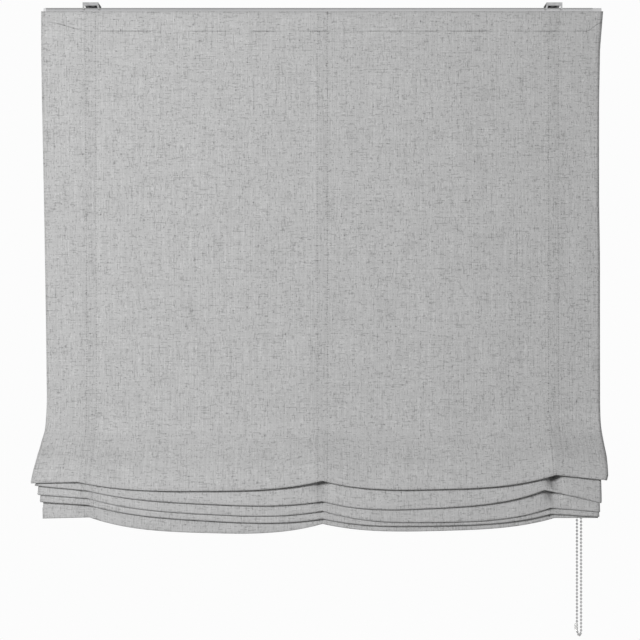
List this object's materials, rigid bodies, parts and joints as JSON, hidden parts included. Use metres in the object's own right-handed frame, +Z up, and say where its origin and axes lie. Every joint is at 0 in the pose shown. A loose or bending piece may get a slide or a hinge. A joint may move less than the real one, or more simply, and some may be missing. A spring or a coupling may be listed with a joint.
{
  "type": "roman blind",
  "caption": "Partly raised roman blind in grey linen-look cloth, folds gathered at the bottom under a slim aluminium headrail with clip brackets and a ball-chain loop.",
  "frame": {"origin": "midway between the wall screw holes of the two brackets, in the wall plane", "axes": "+Z up, the cloth faces -Y, the wall is the plane Y = 0, +X to the right seen from the room"},
  "size_m": [0.96, 0.0935, 1.0854],
  "materials": {
    "rail_aluminium": "satin anodised extrusion",
    "hook_tape": "white hook and loop strip",
    "grey_plastic": "pale grey moulded plastic",
    "linen": "grey linen-look cloth with darker slubs",
    "bracket_steel": "zinc-plated pressed steel",
    "spring_steel": "spring steel",
    "shaft_steel": "drawn steel hexagon bar",
    "white_plastic": "white moulded plastic",
    "chain_metal": "nickel-plated ball chain",
    "clear_plastic": "translucent white plastic",
    "cord": "braided polyester cord",
    "tape": "woven tape"
  },
  "bodies": {
    "headrail": {"bead_chain": "chain_metal", "blind_cloth": "linen", "bracket_left": "bracket_steel", "bracket_right": "bracket_steel", "bracket_rivet_left": "bracket_steel", "bracket_rivet_right": "bracket_steel", "chain_connector": "clear_plastic", "drive_cover": "grey_plastic", "drive_housing": "grey_plastic", "end_cap_left": "grey_plastic", "headrail": "rail_aluminium", "hook_strip": "hook_tape", "lift_cord_centre": "cord", "lift_cord_left": "cord", "lift_cord_right": "cord", "lift_tape_centre": "tape", "lift_tape_left": "tape", "lift_tape_right": "tape", "loop_strip": "hook_tape", "spool_cradle_centre": "white_plastic", "spool_cradle_left": "white_plastic", "spool_cradle_right": "white_plastic", "spring_catch_left": "spring_steel", "spring_catch_right": "spring_steel"},
    "shaft": {"shaft": "shaft_steel", "chain_wheel": "white_plastic", "drive_core": "white_plastic", "brake_spring": "spring_steel", "spool_left": "white_plastic", "spool_centre": "white_plastic", "spool_right": "white_plastic"},
    "bundle": {"cord_stop_left": "clear_plastic", "cord_stop_centre": "clear_plastic", "cord_stop_right": "clear_plastic", "ring_stack_left": "clear_plastic", "ring_stack_centre": "clear_plastic", "ring_stack_right": "clear_plastic"},
    "ring_row_1": {"ring_row_1": "clear_plastic"},
    "ring_row_2": {"ring_row_2": "clear_plastic"},
    "ring_row_3": {"ring_row_3": "clear_plastic"}
  },
  "joints": [
    {"name": "shaft_turn", "type": "hinge", "parent": "headrail", "child": "shaft", "pos_m": [0, -0.021, -0.0094], "axis": [-1, 0, 0], "range_deg": [-5400, 4536], "deforming": ["bead_chain", "chain_connector", "lift_cord_left", "lift_cord_centre", "lift_cord_right"]},
    {"name": "bundle_lift", "type": "slide", "parent": "headrail", "child": "bundle", "axis": [0, 0, 1], "range_m": [-0.7586, 0.6373], "deforming": ["blind_cloth", "lift_tape_left", "lift_tape_centre", "lift_tape_right"]},
    {"name": "ring_row_1_slide", "type": "slide", "parent": "headrail", "child": "ring_row_1", "axis": [0, 0, 1], "range_m": [-0.2632, 0.2212]},
    {"name": "ring_row_2_slide", "type": "slide", "parent": "headrail", "child": "ring_row_2", "axis": [0, 0, 1], "range_m": [-0.4782, 0.4017]},
    {"name": "ring_row_3_slide", "type": "slide", "parent": "headrail", "child": "ring_row_3", "axis": [0, 0, 1], "range_m": [-0.6931, 0.5823]}
  ],
  "couplings": [
    {"joint": "shaft_turn", "follows": "bundle_lift", "rad_per_m": 124.22},
    {"joint": "ring_row_1_slide", "follows": "bundle_lift", "ratio": 0.34631},
    {"joint": "ring_row_2_slide", "follows": "bundle_lift", "ratio": 0.62958},
    {"joint": "ring_row_3_slide", "follows": "bundle_lift", "ratio": 0.91284}
  ]
}
